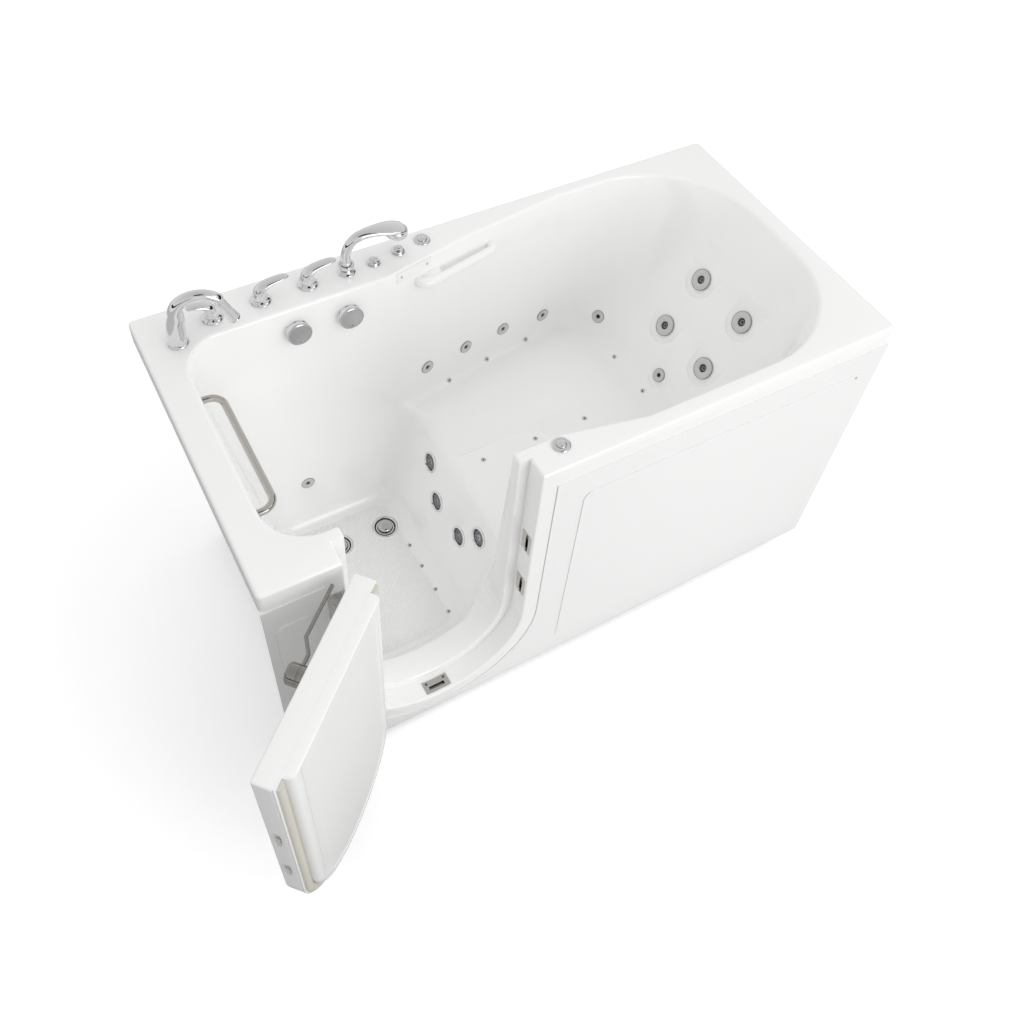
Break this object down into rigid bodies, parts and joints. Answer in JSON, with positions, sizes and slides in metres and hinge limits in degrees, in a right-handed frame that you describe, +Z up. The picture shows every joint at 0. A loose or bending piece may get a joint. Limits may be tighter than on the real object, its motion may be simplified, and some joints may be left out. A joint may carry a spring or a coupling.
{
  "type": "walk-in bathtub with door",
  "caption": "Deep seated bathtub whose front wall has a hinged, latched U-shaped door, with deck taps, hand shower, jets and a steel base frame.",
  "frame": {"origin": "middle of the tub's footprint, on the floor under the centre foot", "axes": "+X from the footwell end to the backrest end, +Y from the door side to the tap side, +Z up"},
  "size_m": [1.9811, 1.313, 1.164],
  "materials": {
    "acrylic": "gloss white moulded acrylic",
    "chrome": "polished",
    "steel": "fine brushed lines",
    "gasket": "pale matt bulb seal",
    "jet_grey": "satin grey moulding",
    "dark_plastic": "matt black moulding",
    "pipe": "matt white pipe"
  },
  "bodies": {
    "tub": {"tub_shell": "acrylic", "wall_grip": "acrylic", "front_apron": "acrylic", "front_access_panel": "acrylic", "left_access_panel": "acrylic", "panel_screws": "steel", "base_frame": "steel", "levelling_feet": "dark_plastic", "centre_foot": "dark_plastic", "strike_plates": "steel", "strike_screws": "steel", "fixed_hinge_leaves": "steel", "hinge_pins": "steel", "flange_hinge_screws": "steel", "drain_bodies": "chrome", "overflow_bodies": "chrome", "waste_pipe": "pipe", "large_jets": "jet_grey", "small_jets": "jet_grey", "air_jets": "jet_grey", "footwell_grilles": "chrome", "equipment_tray": "steel", "water_pump": "dark_plastic", "air_blower": "dark_plastic", "inline_heater": "steel", "water_manifold": "pipe", "air_manifold": "pipe", "grab_bar": "steel", "blank_plate": "steel", "plate_screws": "steel", "valve_bodies": "chrome", "spout_base": "chrome", "shower_holder": "chrome", "knob_bodies": "chrome", "button_bodies": "chrome"},
    "door": {"door_outer_shell": "acrylic", "door_inner_panel": "acrylic", "door_gasket": "gasket", "door_hinge_leaves": "steel", "door_hinge_screws": "steel", "bolt_guides": "dark_plastic"},
    "latch": {"latch_handle": "chrome", "latch_cam": "steel"},
    "upper_side_bolt": {"upper_side_bolt": "steel"},
    "lower_side_bolt": {"lower_side_bolt": "steel"},
    "bottom_bolt": {"bottom_bolt": "steel"},
    "left_stopper": {"left_stopper": "chrome"},
    "right_stopper": {"right_stopper": "chrome"},
    "left_overflow_knob": {"left_overflow_knob": "chrome"},
    "right_overflow_knob": {"right_overflow_knob": "chrome"},
    "left_lever": {"left_lever": "chrome"},
    "middle_lever": {"middle_lever": "chrome"},
    "right_lever": {"right_lever": "chrome"},
    "spout": {"spout": "chrome"},
    "hand_shower": {"hand_shower": "chrome"},
    "left_air_knob": {"left_air_knob": "chrome"},
    "right_air_knob": {"right_air_knob": "chrome"},
    "back_button": {"back_button": "chrome"},
    "front_button": {"front_button": "chrome"}
  },
  "joints": [
    {"name": "door_hinge", "type": "hinge", "parent": "tub", "child": "door", "pos_m": [-0.7095, -0.47225, 0.5], "axis": [0, 0, 1], "range_deg": [0, 138]},
    {"name": "latch_turn", "type": "hinge", "parent": "door", "child": "latch", "pos_m": [-0.89789, -0.63515, 0.951], "axis": [-0.6691, 0.7431, 0], "range_deg": [0, 90]},
    {"name": "upper_side_bolt_slide", "type": "slide", "parent": "door", "child": "upper_side_bolt", "axis": [-0.7431, -0.6691, 0], "range_m": [0, 0.0181]},
    {"name": "lower_side_bolt_slide", "type": "slide", "parent": "door", "child": "lower_side_bolt", "axis": [-0.7431, -0.6691, 0], "range_m": [0, 0.0181]},
    {"name": "bottom_bolt_slide", "type": "slide", "parent": "door", "child": "bottom_bolt", "axis": [0, 0, -1], "range_m": [0, 0.0181]},
    {"name": "left_overflow_turn", "type": "hinge", "parent": "tub", "child": "left_overflow_knob", "pos_m": [-0.5135, 0.31157, 0.924], "axis": [0, -0.9992, 0.0412], "range_deg": [0, 90]},
    {"name": "right_overflow_turn", "type": "hinge", "parent": "tub", "child": "right_overflow_knob", "pos_m": [-0.3625, 0.31137, 0.919], "axis": [0, -0.9992, 0.0412], "range_deg": [0, 90]},
    {"name": "left_stopper_lift", "type": "slide", "parent": "tub", "child": "left_stopper", "axis": [0, 0, 1], "range_m": [0, 0.0081]},
    {"name": "right_stopper_lift", "type": "slide", "parent": "tub", "child": "right_stopper", "axis": [0, 0, 1], "range_m": [0, 0.0081]},
    {"name": "left_lever_turn", "type": "hinge", "parent": "tub", "child": "left_lever", "pos_m": [-0.7155, 0.37375, 1.03], "axis": [0, 0, 1], "range_deg": [-90, 0]},
    {"name": "middle_lever_turn", "type": "hinge", "parent": "tub", "child": "middle_lever", "pos_m": [-0.5805, 0.37975, 1.03], "axis": [0, 0, 1], "range_deg": [0, 90]},
    {"name": "right_lever_turn", "type": "hinge", "parent": "tub", "child": "right_lever", "pos_m": [-0.4455, 0.38375, 1.03], "axis": [0, 0, 1], "range_deg": [0, 90]},
    {"name": "spout_swivel", "type": "hinge", "parent": "tub", "child": "spout", "pos_m": [-0.8215, 0.32675, 1.03], "axis": [0, 0, 1], "range_deg": [-75, 10]},
    {"name": "hand_shower_lift", "type": "slide", "parent": "tub", "child": "hand_shower", "axis": [0, 0, 1], "range_m": [0, 0.1]},
    {"name": "left_air_knob_turn", "type": "hinge", "parent": "tub", "child": "left_air_knob", "pos_m": [-0.2505, 0.38475, 1.01], "axis": [0, 0, 1], "range_deg": [0, 270]},
    {"name": "right_air_knob_turn", "type": "hinge", "parent": "tub", "child": "right_air_knob", "pos_m": [-0.1695, 0.39775, 1.01], "axis": [0, 0, 1], "range_deg": [0, 270]},
    {"name": "back_button_press", "type": "slide", "parent": "tub", "child": "back_button", "axis": [0, 0, -1], "range_m": [0, 0.004], "stiffness_N_per_m": 500, "springref_m": -0.004},
    {"name": "front_button_press", "type": "slide", "parent": "tub", "child": "front_button", "axis": [0, 0, -1], "range_m": [0, 0.004], "stiffness_N_per_m": 500, "springref_m": -0.004}
  ],
  "couplings": [
    {"joint": "upper_side_bolt_slide", "follows": "latch_turn", "m_per_rad": 0.011459},
    {"joint": "lower_side_bolt_slide", "follows": "latch_turn", "m_per_rad": 0.011459},
    {"joint": "bottom_bolt_slide", "follows": "latch_turn", "m_per_rad": 0.011459},
    {"joint": "left_stopper_lift", "follows": "left_overflow_turn", "m_per_rad": 0.005093},
    {"joint": "right_stopper_lift", "follows": "right_overflow_turn", "m_per_rad": 0.005093}
  ]
}
